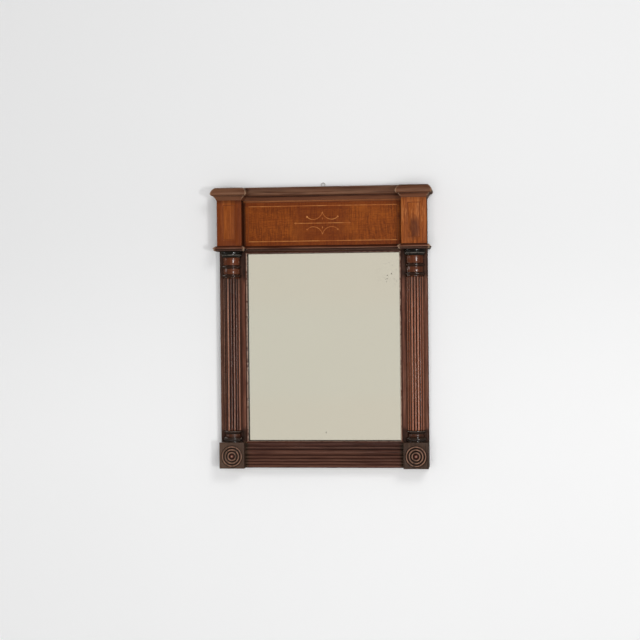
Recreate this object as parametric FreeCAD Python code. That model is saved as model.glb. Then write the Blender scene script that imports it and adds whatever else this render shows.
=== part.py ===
import FreeCAD, Part
import math
import os

# Mahogany pier mirror, hung on a wall. Lengths are in millimetres.
# X runs to the viewer's right, +Y into the wall and +Z up.
# The origin is the middle of the sight opening, on the plane of the wall.

# Sight opening, glass and carcass
sight_width = 408.0
sight_height = 500.0
stile_width = 74.0
carcass_depth = 30.0
facing_thickness = 1.5
side_veneer_thickness = 1.0
slip_width = 6.0
slip_depth = 11.0
slip_proud = 1.0
slip_arris = 1.5
glass_thickness = 4.0
glass_play = 2.0
silvering_thickness = 0.3
tenon_length = 40.0
tenon_thickness = 9.0
tenon_setback = 11.0
tenon_shoulder = 18.0

# Backboards, their nails and the glue blocks
board_thickness = 8.0
board_rebate = 12.0
board_play = 1.0
board_gap = 0.6
board_count = 3
nail_head_width = 5.0
nail_head_thickness = 1.0
nail_head_inset = 0.4
nail_shank_width = 2.4
nail_length = 17.0
nail_tip_share = 0.35
nail_end_margin = 60.0
side_nail_count = 4
board_end_nail_count = 2
glue_block_length = 34.0
glue_block_width = 9.0
glue_block_play = 0.5
side_glue_block_count = 3
end_glue_block_count = 2

# Heights on the front, from the sight opening outwards
rail_margin = 1.0
neck_height = 14.0
frieze_height = 120.0
cornice_height = 34.0
top_board_thickness = 6.0
corner_block_drop = 2.5
corner_block_height = 69.0

# Blocks that stand forward of the stiles
block_width = 66.0
frieze_block_proud = 40.0
corner_block_proud = 33.0
block_veneer_thickness = 1.0

# Cornice section
cornice_overhang = 15.5
cornice_top_lip = 4.0
cornice_nose_drop = 15.5
cornice_quirk_overhang = 8.0
cornice_quirk_drop = 22.5
cornice_quirk_height = 1.2
cornice_foot_lip = 1.0
upper_bulge_shares = (0.62, 0.41)
lower_bulge_shares = (0.16, 0.62)
cornice_foot_shares = (0.60, 0.50)
cornice_fillet_height = 4.7
cornice_fillet_proud = 1.5

# Neck moulding section
neck_overhang = 10.0
neck_nose_drop = 7.0
neck_nose_height = 1.5
neck_quirk_overhang = 6.5
neck_bead_height = 4.5
neck_bead_bulge = 2.0
neck_cyma_shares = (0.48, 0.30)

# Half columns: radii and heights of the turnings
abacus_radius = 29.0
abacus_height = 5.0
echinus_height = 11.5
echinus_shares = (0.40, 0.62)
neck_radius = 23.5
fillet_radius = 24.6
fillet_height = 1.5
upper_neck_height = 17.5
lower_neck_height = 14.5
quirk_radius = 22.4
quirk_height = 1.5
astragal_radius = 26.5
astragal_height = 6.5
collar_height = 1.5
base_astragal_radius = 25.8
base_astragal_height = 4.5
scotia_radius = 21.5
scotia_height = 9.5
torus_radius = 27.2
torus_height = 10.0
plinth_radius = 25.5
plinth_height = 2.0
shaft_radius = 24.2
shaft_quirk_radius = 22.2
shaft_reed_count = 9
reed_end_round = 3.0

# Corner blocks: rings of the bull's-eye
button_radius = 6.5
button_shares = (0.55, 0.27)
bullseye_pitch = 7.6
bullseye_ring_count = 3
bullseye_depth = 2.8
bullseye_crest_drop = 0.3
bullseye_centre_drop = 2.4

# Reeded facing of the bottom rail
rail_band_proud = 2.5
rail_band_foot_proud = 6.5
rail_band_height = 9.0
rail_band_shares = (0.25, 0.62)
rail_fillet_proud = 10.5
rail_fillet_height = 5.0
rail_quirk_proud = 6.5
rail_quirk_height = 2.6
wide_reed_proud = 13.5
wide_reed_height = 14.9
rail_quirk_step = 0.8
rail_reed_root = 8.0
rail_reed_proud = 11.5
rail_reed_count = 4

# Stringing and inlay
string_width = 1.8
string_depth = 0.8
frieze_string_inset = 11.5
frieze_string_top_inset = 13.9
frieze_string_bottom_inset = 10.7
block_string_half_width = 16.2
block_string_top_inset = 11.9
block_string_bottom_inset = 15.5
inlay_rise = 2.0
inlay_line_half_length = 76.0
inlay_dot_radius = 2.4
inlay_dot_reach = 71.5
brace_half_width = 41.0
brace_dip_reach = 25.0
brace_dip_rise = 9.7
brace_dot_rise = 17.0
brace_peak_rise = 30.0
lozenge_rise = 11.8
lozenge_height = 7.4
lozenge_width = 3.0

# Hanger let into the back
ring_wire = 2.6
ring_width = 11.6
ring_bend_radius = 1.9
ring_reach = 15.0
pivot_drop = 13.0
wall_clearance = 0.3
knuckle_wall = 1.2
knuckle_clearance = 0.1
knuckle_width = 4.8
plate_width = 14.0
plate_length = 32.0
plate_shoulder_drop = 5.5
recess_play = 1.5
recess_extra_length = 8.0
hanger_screw_count = 2
hanger_screw_pitch = 10.0
hanger_screw_first_drop = 12.0
screw_head_radius = 2.8
screw_shank_radius = 1.3
screw_length = 12.0
screw_hole_clearance = 0.1
screw_slot_width = 0.6
screw_slot_depth = 0.5

# Cutting tools run past the wood by this much
overrun = 5.0

# Middle of a quarter round, as shares of the way along each side
round_shares = (math.sqrt(0.5), 1 - math.sqrt(0.5))

# Places worked out from the sizes above
half_sight = sight_width / 2
half_frame = half_sight + stile_width
sight_top = sight_height / 2
sight_bottom = -sight_top
front = -carcass_depth
core_front = front + facing_thickness
carcass_inner = half_sight + slip_width
carcass_top_inner = sight_top + slip_width
neck_bottom = carcass_top_inner + rail_margin
neck_top = neck_bottom + neck_height
cornice_bottom = neck_top + frieze_height
cornice_top = cornice_bottom + cornice_height
board_bottom = cornice_top - top_board_thickness
corner_top = sight_bottom - corner_block_drop
frame_bottom = corner_top - corner_block_height
block_inner = half_frame - block_width
block_axis = half_frame - block_width / 2
frieze_block_front = front - frieze_block_proud
corner_block_front = front - corner_block_proud
glass_front = front - slip_proud + slip_depth
glass_back = glass_front + glass_thickness
silvering_back = glass_back + silvering_thickness
rebate_half_width = carcass_inner + board_rebate
rebate_half_height = carcass_top_inner + board_rebate
reach = cornice_overhang + overrun


def box(x0, x1, y0, y1, z0, z1):
    corner = FreeCAD.Vector(min(x0, x1), min(y0, y1), min(z0, z1))
    return Part.makeBox(abs(x1 - x0), abs(y1 - y0), abs(z1 - z0), corner)


def prism(plan, z0, z1):
    corners = [FreeCAD.Vector(x, y, z0) for x, y in plan]
    face = Part.Face(Part.makePolygon(corners + corners[:1]))
    return face.extrude(FreeCAD.Vector(0, 0, z1 - z0))


def trace(place, start, *steps):
    """A flat face. A step is (end,) for a straight side or (middle, end) for an arc."""
    edges = []
    here = start
    for step in steps + ((start,),):
        ends = [place(*point) for point in (here,) + step]
        if (ends[0] - ends[-1]).Length > 0:
            curve = Part.Arc(*ends) if len(ends) == 3 else Part.LineSegment(*ends)
            edges.append(curve.toShape())
        here = step[-1]
    return Part.Face(Part.Wire(edges))


def between(a, b, shares):
    """The point that lies the given shares of the way from a to b."""
    return (a[0] + (b[0] - a[0]) * shares[0], a[1] + (b[1] - a[1]) * shares[1])


def left_of(shape):
    return shape.mirror(FreeCAD.Vector(0, 0, 0), FreeCAD.Vector(1, 0, 0))


def save(name, *solids):
    whole = solids[0] if len(solids) == 1 else Part.makeCompound(solids)
    whole.exportStep("parts/" + name + ".step")


def save_pair(name, *solids):
    """The piece of the right-hand side, and the same piece on the left."""
    save("right_" + name, *solids)
    save("left_" + name, *[left_of(solid) for solid in solids])


def evenly(count, low, high):
    """Middles of equal spans from low to high."""
    span = (high - low) / count
    return [low + span * (i + 0.5) for i in range(count)]


def hanger_sizes():
    """Place of the ring's pivot, and the recess that takes the whole hanger."""
    knuckle_bore = ring_wire / 2 + knuckle_clearance
    knuckle_radius = knuckle_bore + knuckle_wall
    pivot_y = -(knuckle_radius + wall_clearance)
    pivot_z = cornice_top - pivot_drop
    recess_depth = -pivot_y + knuckle_radius
    return knuckle_bore, knuckle_radius, pivot_y, pivot_z, recess_depth


def hanger_recess():
    pivot_z = cornice_top - pivot_drop
    depth = hanger_sizes()[4]
    half = max(plate_width, ring_width) / 2 + recess_play
    low = pivot_z - plate_length - recess_extra_length
    return box(-half, half, -depth, overrun, low, cornice_top + overrun)


def hanger_screw_heights():
    first = cornice_top - pivot_drop - hanger_screw_first_drop
    return [first - i * hanger_screw_pitch for i in range(hanger_screw_count)]


def nail_places():
    """Middles of the backboard nails, round the rebate, with the direction of the edge."""
    side_x = carcass_inner + board_rebate / 2
    end_z = carcass_top_inner + board_rebate / 2
    high = rebate_half_height - nail_end_margin
    places = []
    for z in evenly(side_nail_count, -high, high):
        places += [(-side_x, z), (side_x, z)]
    board = 2 * rebate_half_width / board_count
    for i in range(board_count):
        left = -rebate_half_width + board * i
        for x in evenly(board_end_nail_count, left, left + board):
            places += [(x, -end_z), (x, end_z)]
    return places


def nail(x, z):
    """A cut nail: a flat head just under the wood and a shank that tapers to its point."""
    half = nail_shank_width / 2
    head_half = nail_head_width / 2
    head_front = -nail_head_inset - nail_head_thickness
    head = box(x - head_half, x + head_half, -nail_head_inset, head_front, z - half, z + half)
    tip_half = half * nail_tip_share
    shank = trace(
        lambda u, v: FreeCAD.Vector(x + u, v, z - half),
        (-half, head_front), ((half, head_front),),
        ((tip_half, head_front - nail_length),), ((-tip_half, head_front - nail_length),))
    return head.fuse(shank.extrude(FreeCAD.Vector(0, 0, 2 * half))).removeSplitter()


def nail_sinking(x, z):
    """The hole above a nail's head, open at the back."""
    half = nail_shank_width / 2
    head_half = nail_head_width / 2
    return box(x - head_half, x + head_half, -nail_head_inset, overrun, z - half, z + half)


def pine_carcass(nails):
    """Two stiles and two rails, tenoned, with the rebate for the boards cut from behind."""
    inner_side = half_frame - side_veneer_thickness
    rebate = box(-rebate_half_width, rebate_half_width, -board_thickness, overrun,
                 -rebate_half_height, rebate_half_height)
    tenon_back = -board_thickness - tenon_setback + tenon_thickness / 2
    tenon_front = tenon_back - tenon_thickness
    tenons = {}
    for name, low, high in (("top", carcass_top_inner, board_bottom),
                            ("bottom", frame_bottom, -carcass_top_inner)):
        end = carcass_inner + tenon_length
        tenons[name] = box(-end, end, tenon_back, tenon_front,
                           low + tenon_shoulder, high - tenon_shoulder)
        rail = box(-carcass_inner, carcass_inner, 0, core_front, low, high)
        rail = rail.fuse(tenons[name]).removeSplitter().cut(rebate)
        for one in nails:
            rail = rail.cut(one)
        if name == "top":
            rail = rail.cut(hanger_recess())
            for z in hanger_screw_heights():
                rail = rail.cut(screw_hole(z))
        save(name + "_rail", rail)
    for name, side in (("left", -1), ("right", 1)):
        stile = box(side * carcass_inner, side * inner_side, 0, core_front, frame_bottom, board_bottom)
        for tool in [rebate, tenons["top"], tenons["bottom"]] + nails:
            stile = stile.cut(tool)
        save(name + "_stile", stile)


def stile_faces():
    """Mahogany on the show face beside the glass, and thin veneer down the frame's side."""
    facing = box(carcass_inner, half_frame, core_front, front, corner_top, neck_bottom)
    side = box(half_frame - side_veneer_thickness, half_frame, 0, core_front, frame_bottom, board_bottom)
    save_pair("stile_facing", facing)
    save_pair("side_veneer", side)


def sight_slip(half_long, half_short, turn):
    """A mitred slip on the upper side of an opening, then turned about the Y axis."""
    slip_front = front - slip_proud
    section = trace(
        lambda v, w: FreeCAD.Vector(-half_long - slip_width, v, w),
        (glass_front, half_short), ((slip_front + slip_arris, half_short),),
        (between((slip_front + slip_arris, half_short), (slip_front, half_short + slip_arris),
                 round_shares), (slip_front, half_short + slip_arris)),
        ((slip_front, half_short + slip_width),), ((glass_front, half_short + slip_width),))
    length = section.extrude(FreeCAD.Vector(2 * (half_long + slip_width), 0, 0))
    outer = half_long + slip_width
    mitre = trace(
        lambda u, w: FreeCAD.Vector(u, glass_front + overrun, w),
        (-half_long, half_short), ((half_long, half_short),),
        ((outer, half_short + slip_width),), ((-outer, half_short + slip_width),))
    slip = length.common(mitre.extrude(FreeCAD.Vector(0, -slip_depth - 2 * overrun, 0)))
    slip.rotate(FreeCAD.Vector(0, 0, 0), FreeCAD.Vector(0, 1, 0), turn)
    return slip


def looking_glass():
    half_wide = carcass_inner - glass_play
    half_high = carcass_top_inner - glass_play
    save("mirror_glass", box(-half_wide, half_wide, glass_front, glass_back, -half_high, half_high))
    save("mirror_silvering",
         box(-half_wide, half_wide, glass_back, silvering_back, -half_high, half_high))
    blocks = []
    for z in evenly(side_glue_block_count, sight_bottom, sight_top):
        for side in (-1, 1):
            blocks.append(glue_block(side, z))
    for x in evenly(end_glue_block_count, -half_sight, half_sight):
        for side in (-1, 1):
            upright = glue_block(1, 0)
            upright.translate(FreeCAD.Vector(carcass_top_inner - carcass_inner, 0, 0))
            upright.rotate(FreeCAD.Vector(0, 0, 0), FreeCAD.Vector(0, 1, 0), -90 * side)
            upright.translate(FreeCAD.Vector(x, 0, 0))
            blocks.append(upright)
    save("glass_blocks", *blocks)


def glue_block(side, z):
    """A bevelled pine block in the corner between the plate's back and the stile."""
    back = -board_thickness - glue_block_play
    wall = side * carcass_inner
    toe = side * (carcass_inner - glue_block_width)
    plan = [(wall, silvering_back), (toe, silvering_back), (wall, back)]
    return prism(plan, z - glue_block_length / 2, z + glue_block_length / 2)


def backboards(nails):
    """Upright pine boards in the rebate, nailed round the edge."""
    left = -rebate_half_width + board_play
    wide = (2 * (rebate_half_width - board_play) - board_gap * (board_count - 1)) / board_count
    high = rebate_half_height - board_play
    names = ["left", "middle", "right"]
    for i in range(board_count):
        x0 = left + i * (wide + board_gap)
        board = box(x0, x0 + wide, -board_thickness, 0, -high, high)
        for tool in nails + [nail_sinking(x, z) for x, z in nail_places()]:
            board = board.cut(tool)
        label = names[i] if board_count == len(names) else str(i + 1)
        save("backboard_" + label, board)
    save("backboard_nails", *nails)


def string_frame(x0, x1, z0, z1, face):
    """Four boxwood lines round a panel, butted at the corners and flush with the veneer."""
    back = face + string_depth
    return [box(x0, x1, face, back, z1 - string_width, z1),
            box(x0, x1, face, back, z0, z0 + string_width),
            box(x0, x0 + string_width, face, back, z0 + string_width, z1 - string_width),
            box(x1 - string_width, x1, face, back, z0 + string_width, z1 - string_width)]


def inlaid_disc(x, z):
    return Part.makeCylinder(inlay_dot_radius, string_depth, FreeCAD.Vector(x, front, z),
                             FreeCAD.Vector(0, 1, 0))


def inlaid_arc(centre_x, centre_z, radius, angle_from, angle_to):
    """A line of even width bent to an arc. Angles are from the downward direction, in radians."""
    def at(r, angle):
        return (centre_x + r * math.sin(angle), centre_z - r * math.cos(angle))
    middle = (angle_from + angle_to) / 2
    inner = radius - string_width / 2
    outer = radius + string_width / 2
    face = trace(
        lambda u, w: FreeCAD.Vector(u, front, w),
        at(inner, angle_from), (at(inner, middle), at(inner, angle_to)),
        (at(outer, angle_to),), (at(outer, middle), at(outer, angle_from)))
    return face.extrude(FreeCAD.Vector(0, string_depth, 0))


def inlay_brace(middle_z):
    """One brace: from each dot the line dips, then climbs to the point on the centre line."""
    peak_height = brace_peak_rise - brace_dip_rise
    dot_height = brace_dot_rise - brace_dip_rise
    dot_run = brace_half_width - brace_dip_reach
    inner_radius = (brace_dip_reach ** 2 + peak_height ** 2) / (2 * peak_height)
    outer_radius = (dot_run ** 2 + dot_height ** 2) / (2 * dot_height)
    dip_z = middle_z + brace_dip_rise
    peak_turn = math.acos(1 - peak_height / inner_radius)
    dot_turn = math.acos(1 - dot_height / outer_radius)
    rise = inlaid_arc(brace_dip_reach, dip_z + inner_radius, inner_radius, -peak_turn, 0)
    rise = rise.common(box(0, half_sight, front - overrun, 0, dip_z - overrun, cornice_top))
    tail = inlaid_arc(brace_dip_reach, dip_z + outer_radius, outer_radius, 0, dot_turn)
    half = rise.fuse([tail, inlaid_disc(brace_half_width, middle_z + brace_dot_rise)])
    return half.fuse(left_of(half)).removeSplitter()


def frieze_inlay():
    """Two braces, back to back, two lozenges and a centre line with dots near its ends."""
    middle_z = (neck_top + cornice_bottom) / 2 - inlay_rise + string_width / 2
    upper = inlay_brace(middle_z)
    lower = upper.mirror(FreeCAD.Vector(0, 0, middle_z), FreeCAD.Vector(0, 0, 1))
    line = box(-inlay_line_half_length, inlay_line_half_length, front, front + string_depth,
               middle_z - string_width / 2, middle_z + string_width / 2)
    line = line.fuse([inlaid_disc(-inlay_dot_reach, middle_z), inlaid_disc(inlay_dot_reach, middle_z)])
    pieces = [upper, lower, line.removeSplitter()]
    for rise in (-lozenge_rise, lozenge_rise):
        z = middle_z + rise
        face = trace(
            lambda u, w: FreeCAD.Vector(u, front, z + w),
            (0, lozenge_height / 2), ((lozenge_width / 2, 0),),
            ((0, -lozenge_height / 2),), ((-lozenge_width / 2, 0),))
        pieces.append(face.extrude(FreeCAD.Vector(0, string_depth, 0)))
    return pieces


def frieze():
    """Veneer on the top rail between the blocks, with its stringing and inlay let in."""
    veneer = box(-block_inner, block_inner, core_front, front, neck_bottom, board_bottom)
    reach_x = block_inner - frieze_string_inset
    strings = string_frame(-reach_x, reach_x, neck_top + frieze_string_bottom_inset,
                           cornice_bottom - frieze_string_top_inset, front)
    inlay = frieze_inlay()
    for piece in strings + inlay:
        veneer = veneer.cut(piece)
    save("frieze_veneer", veneer)
    save("frieze_stringing", *strings)
    save("frieze_inlay", *inlay)


def frieze_blocks():
    """A pine block on each stile, veneered on its front and two sides and strung in front."""
    skin = block_veneer_thickness
    core = box(block_inner + skin, half_frame - skin, core_front, frieze_block_front + skin,
               neck_bottom, board_bottom)
    show = box(block_inner, half_frame, frieze_block_front + skin, frieze_block_front,
               neck_bottom, board_bottom)
    inner = box(block_inner, block_inner + skin, core_front, frieze_block_front + skin,
                neck_bottom, board_bottom)
    outer = box(half_frame - skin, half_frame, core_front, frieze_block_front + skin,
                neck_bottom, board_bottom)
    strings = string_frame(block_axis - block_string_half_width, block_axis + block_string_half_width,
                           neck_top + block_string_bottom_inset,
                           cornice_bottom - block_string_top_inset, frieze_block_front)
    for string in strings:
        show = show.cut(string)
    save_pair("frieze_block", core)
    save_pair("block_veneer", show, inner, outer)
    save_pair("block_stringing", *strings)


def top_board():
    """The board inside the cornice, stepped forward over the two blocks."""
    plan = [(-half_frame, 0), (-half_frame, frieze_block_front), (-block_inner, frieze_block_front),
            (-block_inner, front), (block_inner, front), (block_inner, frieze_block_front),
            (half_frame, frieze_block_front), (half_frame, 0)]
    save("cornice_top_board", prism(plan, board_bottom, cornice_top).cut(hanger_recess()))


def cornice_section(place):
    """A bold torus over a quirk and a small hollow. Points are overhang and drop."""
    nose = (cornice_overhang, cornice_nose_drop)
    lip = (cornice_top_lip, 0)
    quirk = (cornice_quirk_overhang, cornice_quirk_drop)
    sunk = (cornice_quirk_overhang, cornice_quirk_drop + cornice_quirk_height)
    foot = (cornice_foot_lip, cornice_height)
    return trace(place, (0, 0), (lip,), (between(lip, nose, upper_bulge_shares), nose),
                 (between(nose, quirk, lower_bulge_shares), quirk), (sunk,),
                 (between(sunk, foot, cornice_foot_shares), foot), ((0, cornice_height),))


def neck_section(place):
    """A cyma over a square nose and a small bead. Points are overhang and drop."""
    nose = (neck_overhang, neck_nose_drop)
    nose_foot = (neck_overhang, neck_nose_drop + neck_nose_height)
    quirk = (neck_quirk_overhang, neck_nose_drop + neck_nose_height)
    bead_foot = (neck_quirk_overhang, neck_nose_drop + neck_nose_height + neck_bead_height)
    bead = (neck_quirk_overhang + neck_bead_bulge, quirk[1] + neck_bead_height / 2)
    return trace(place, (0, 0), (between((0, 0), nose, neck_cyma_shares), nose), (nose_foot,),
                 (quirk,), (bead, bead_foot), ((neck_quirk_overhang, neck_height),),
                 ((0, neck_height),))


def moulding(section, top, bottom):
    """Mitred lengths of one moulding along the front and round the blocks."""
    edge = block_inner
    far = reach
    front_run = section(lambda o, d: FreeCAD.Vector(-half_frame - far, front - o, top - d))
    front_run = front_run.extrude(FreeCAD.Vector(2 * (half_frame + far), 0, 0))
    centre = front_run.common(prism(
        [(-edge, front), (-edge + far, front - far), (edge - far, front - far), (edge, front)],
        bottom, top))
    block_run = front_run.translated(FreeCAD.Vector(0, frieze_block_front - front, 0))
    cap_front = block_run.common(prism(
        [(edge, frieze_block_front), (edge - far, frieze_block_front - far),
         (half_frame + far, frieze_block_front - far), (half_frame, frieze_block_front)],
        bottom, top))
    deep = frieze_block_front - far
    outer = section(lambda o, d: FreeCAD.Vector(half_frame + o, deep, top - d))
    outer = outer.extrude(FreeCAD.Vector(0, -deep, 0)).common(prism(
        [(half_frame, 0), (half_frame, frieze_block_front), (half_frame + far, deep),
         (half_frame + far, 0)], bottom, top))
    inner = section(lambda o, d: FreeCAD.Vector(edge - o, deep, top - d))
    inner = inner.extrude(FreeCAD.Vector(0, -deep, 0)).common(prism(
        [(edge, front), (edge, frieze_block_front), (edge - far, deep),
         (edge - far, front - far)], bottom, top))
    return centre, cap_front, outer, inner


def mouldings():
    centre, cap_front, outer, inner = moulding(cornice_section, cornice_top, cornice_bottom)
    save("cornice_centre", centre)
    save("cornice_fillet", box(-block_inner, block_inner, front, front - cornice_fillet_proud,
                               cornice_bottom - cornice_fillet_height, cornice_bottom))
    save_pair("cap_front", cap_front)
    save_pair("cap_outer", outer)
    save_pair("cap_inner", inner)
    centre, cap_front, outer, inner = moulding(neck_section, neck_top, neck_bottom)
    save("neck_moulding_centre", centre)
    save_pair("neck_front", cap_front)
    save_pair("neck_outer", outer)
    save_pair("neck_inner", inner)


def turning(rows, top):
    """A half turning on the stile's face. Rows run down from the top: kind, radius and height."""
    steps = []
    z = top
    for kind, radius, height in rows:
        foot = z - height
        if kind == "band":
            steps += [((radius, z),), ((radius, foot),)]
        if kind == "bead":
            steps += [((quirk_radius, z),), ((radius, z - height / 2), (quirk_radius, foot))]
        if kind == "echinus":
            start = (radius, z)
            end = (neck_radius, foot)
            steps += [(start,), (between(start, end, echinus_shares), end)]
        if kind == "scotia":
            start = (quirk_radius, z)
            end = (neck_radius, foot)
            steps += [(start,), ((radius, z - height / 2), end)]
        z = foot
    steps.append(((0, z),))
    face = trace(lambda r, w: FreeCAD.Vector(block_axis + r, front, w), (0, top), *steps)
    return face.revolve(FreeCAD.Vector(block_axis, front, 0), FreeCAD.Vector(0, 0, -1), 180)


def half_columns():
    """Capital, reeded shaft and base of each column, split turnings glued to the facing."""
    capital_rows = [
        ("band", abacus_radius, abacus_height), ("band", quirk_radius, quirk_height),
        ("echinus", abacus_radius, echinus_height), ("band", fillet_radius, fillet_height),
        ("band", neck_radius, upper_neck_height), ("band", quirk_radius, quirk_height),
        ("bead", astragal_radius, astragal_height), ("band", quirk_radius, quirk_height),
        ("band", neck_radius, lower_neck_height), ("band", quirk_radius, quirk_height),
        ("bead", astragal_radius, astragal_height), ("band", quirk_radius, quirk_height),
        ("band", fillet_radius, collar_height)]
    base_rows = [
        ("bead", base_astragal_radius, base_astragal_height), ("band", quirk_radius, quirk_height),
        ("scotia", scotia_radius, scotia_height), ("band", quirk_radius, quirk_height),
        ("bead", torus_radius, torus_height), ("band", quirk_radius, quirk_height),
        ("band", plinth_radius, plinth_height)]
    shaft_top = neck_bottom - sum(row[2] for row in capital_rows)
    shaft_bottom = corner_top + sum(row[2] for row in base_rows)
    save_pair("capital", turning(capital_rows, neck_bottom))
    save_pair("base", turning(base_rows, shaft_bottom))
    save_pair("shaft", reeded_shaft(shaft_bottom, shaft_top))


def reeded_shaft(low, high):
    """Reeds round a half cylinder, each rounded off at its two ends."""
    turn = math.pi / shaft_reed_count

    def at(radius, angle):
        return (block_axis - radius * math.cos(angle), front - radius * math.sin(angle))

    steps = []
    for i in range(shaft_reed_count):
        crest = at(shaft_radius, (i + 0.5) * turn)
        steps.append((crest, at(shaft_quirk_radius, (i + 1) * turn)))
    face = trace(lambda u, v: FreeCAD.Vector(u, v, low), at(shaft_quirk_radius, 0), *steps)
    reeds = face.extrude(FreeCAD.Vector(0, 0, high - low))
    inner = shaft_radius - reed_end_round
    start = (inner, high)
    side = (shaft_radius, high - reed_end_round)
    lower_side = (shaft_radius, low + reed_end_round)
    envelope = trace(
        lambda r, w: FreeCAD.Vector(block_axis + r, front, w),
        (0, high), (start,), (between(start, side, round_shares), side), (lower_side,),
        (between((inner, low), lower_side, round_shares), (inner, low)), ((0, low),))
    return reeds.common(envelope.revolve(FreeCAD.Vector(block_axis, front, 0),
                                         FreeCAD.Vector(0, 0, -1), 180))


def corner_blocks():
    """Solid mahogany, faced off on the lathe with a button and three rings."""
    middle_z = (corner_top + frame_bottom) / 2 - bullseye_centre_drop
    block = box(block_inner, half_frame, core_front, corner_block_front, frame_bottom, corner_top)
    crest = (0, bullseye_crest_drop)
    groove = (button_radius, bullseye_depth)
    steps = [(between(crest, groove, button_shares), groove)]
    for i in range(bullseye_ring_count):
        inner = button_radius + i * bullseye_pitch
        steps.append(((inner + bullseye_pitch / 2, bullseye_crest_drop),
                      (inner + bullseye_pitch, bullseye_depth)))
    rim = button_radius + bullseye_ring_count * bullseye_pitch
    steps += [((rim, -overrun),), ((0, -overrun),)]
    face = trace(
        lambda r, d: FreeCAD.Vector(block_axis + r, corner_block_front + d, middle_z), crest, *steps)
    sinking = face.revolve(FreeCAD.Vector(block_axis, 0, middle_z), FreeCAD.Vector(0, 1, 0), 360)
    save_pair("corner_block", block.cut(sinking))


def reeded_rail():
    """The long facing between the corner blocks: hollow band, fillet, wide reed, four reeds."""
    top = -carcass_top_inner
    band_foot = top - rail_band_height
    fillet_foot = band_foot - rail_fillet_height
    wide_top = fillet_foot - rail_quirk_height
    wide_foot = wide_top - wide_reed_height
    reeds_top = wide_foot - rail_quirk_step
    pitch = (reeds_top - frame_bottom) / rail_reed_count
    band_start = (rail_band_proud, top)
    band_end = (rail_band_foot_proud, band_foot)
    steps = [(band_start,), (between(band_start, band_end, rail_band_shares), band_end),
             ((rail_fillet_proud, band_foot),), ((rail_fillet_proud, fillet_foot),),
             ((rail_quirk_proud, fillet_foot),), ((rail_quirk_proud, wide_top),),
             ((wide_reed_proud, (wide_top + wide_foot) / 2), (rail_quirk_proud, wide_foot)),
             ((rail_quirk_proud, reeds_top),), ((rail_reed_root, reeds_top),)]
    for i in range(rail_reed_count):
        high = reeds_top - i * pitch
        steps.append(((rail_reed_proud, high - pitch / 2), (rail_reed_root, high - pitch)))
    steps.append(((0, frame_bottom),))
    face = trace(lambda d, w: FreeCAD.Vector(-block_inner, core_front - d, w), (0, top), *steps)
    save("reeded_rail", face.extrude(FreeCAD.Vector(2 * block_inner, 0, 0)))


def screw_hole(z):
    depth = hanger_sizes()[4] + screw_length
    return Part.makeCylinder(screw_shank_radius + screw_hole_clearance, depth,
                             FreeCAD.Vector(0, 0, z), FreeCAD.Vector(0, -1, 0))


def hanger():
    """A steel strap let into the back, rolled at its top round the bar of a wire ring."""
    bore, knuckle_radius, pivot_y, pivot_z, recess_depth = hanger_sizes()
    plate_back = -recess_depth
    plate_face = plate_back + knuckle_wall
    shoulder = pivot_z - plate_shoulder_drop
    strap = box(-plate_width / 2, plate_width / 2, plate_back, plate_face,
                pivot_z - plate_length, shoulder)
    tongue = box(-knuckle_width / 2, knuckle_width / 2, plate_back, plate_face, shoulder, pivot_z)
    roll = Part.makeCylinder(knuckle_radius, knuckle_width,
                             FreeCAD.Vector(-knuckle_width / 2, pivot_y, pivot_z),
                             FreeCAD.Vector(1, 0, 0))
    strap = strap.fuse([tongue, roll]).removeSplitter()
    strap = strap.cut(Part.makeCylinder(bore, 2 * knuckle_width,
                                        FreeCAD.Vector(-knuckle_width, pivot_y, pivot_z),
                                        FreeCAD.Vector(1, 0, 0)))
    screws = []
    for z in hanger_screw_heights():
        hole = Part.makeCone(screw_head_radius + screw_hole_clearance,
                             screw_shank_radius + screw_hole_clearance, knuckle_wall,
                             FreeCAD.Vector(0, plate_face, z), FreeCAD.Vector(0, -1, 0))
        strap = strap.cut(hole)
        head = Part.makeCone(screw_head_radius, screw_shank_radius, knuckle_wall,
                             FreeCAD.Vector(0, plate_face, z), FreeCAD.Vector(0, -1, 0))
        shank = Part.makeCylinder(screw_shank_radius, screw_length,
                                  FreeCAD.Vector(0, plate_back, z), FreeCAD.Vector(0, -1, 0))
        slot = box(-screw_head_radius, screw_head_radius, plate_face, plate_face - screw_slot_depth,
                   z - screw_slot_width / 2, z + screw_slot_width / 2)
        screws.append(head.fuse(shank).removeSplitter().cut(slot))
    save("hanger_plate", strap)
    save("hanger_screws", *screws)
    save("hanging_ring", wire_ring(pivot_y, pivot_z))


def wire_ring(pivot_y, pivot_z):
    """Round wire bent to a long link: a straight bar, two legs and a half-round top."""
    leg = (ring_width - ring_wire) / 2
    bend = ring_bend_radius
    crown = cornice_top + ring_reach - ring_wire / 2
    crown_z = crown - leg
    corner = bend * (1 - math.sqrt(0.5))

    def at(x, z):
        return FreeCAD.Vector(x, pivot_y, z)

    edges = [
        Part.LineSegment(at(-leg + bend, pivot_z), at(leg - bend, pivot_z)),
        Part.Arc(at(leg - bend, pivot_z), at(leg - corner, pivot_z + corner), at(leg, pivot_z + bend)),
        Part.LineSegment(at(leg, pivot_z + bend), at(leg, crown_z)),
        Part.Arc(at(leg, crown_z), at(0, crown), at(-leg, crown_z)),
        Part.LineSegment(at(-leg, crown_z), at(-leg, pivot_z + bend)),
        Part.Arc(at(-leg, pivot_z + bend), at(-leg + corner, pivot_z + corner),
                 at(-leg + bend, pivot_z))]
    path = Part.Wire([edge.toShape() for edge in edges])
    profile = Part.Wire(Part.makeCircle(ring_wire / 2, at(-leg + bend, pivot_z),
                                        FreeCAD.Vector(1, 0, 0)))
    return path.makePipeShell([profile], True, True)


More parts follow.
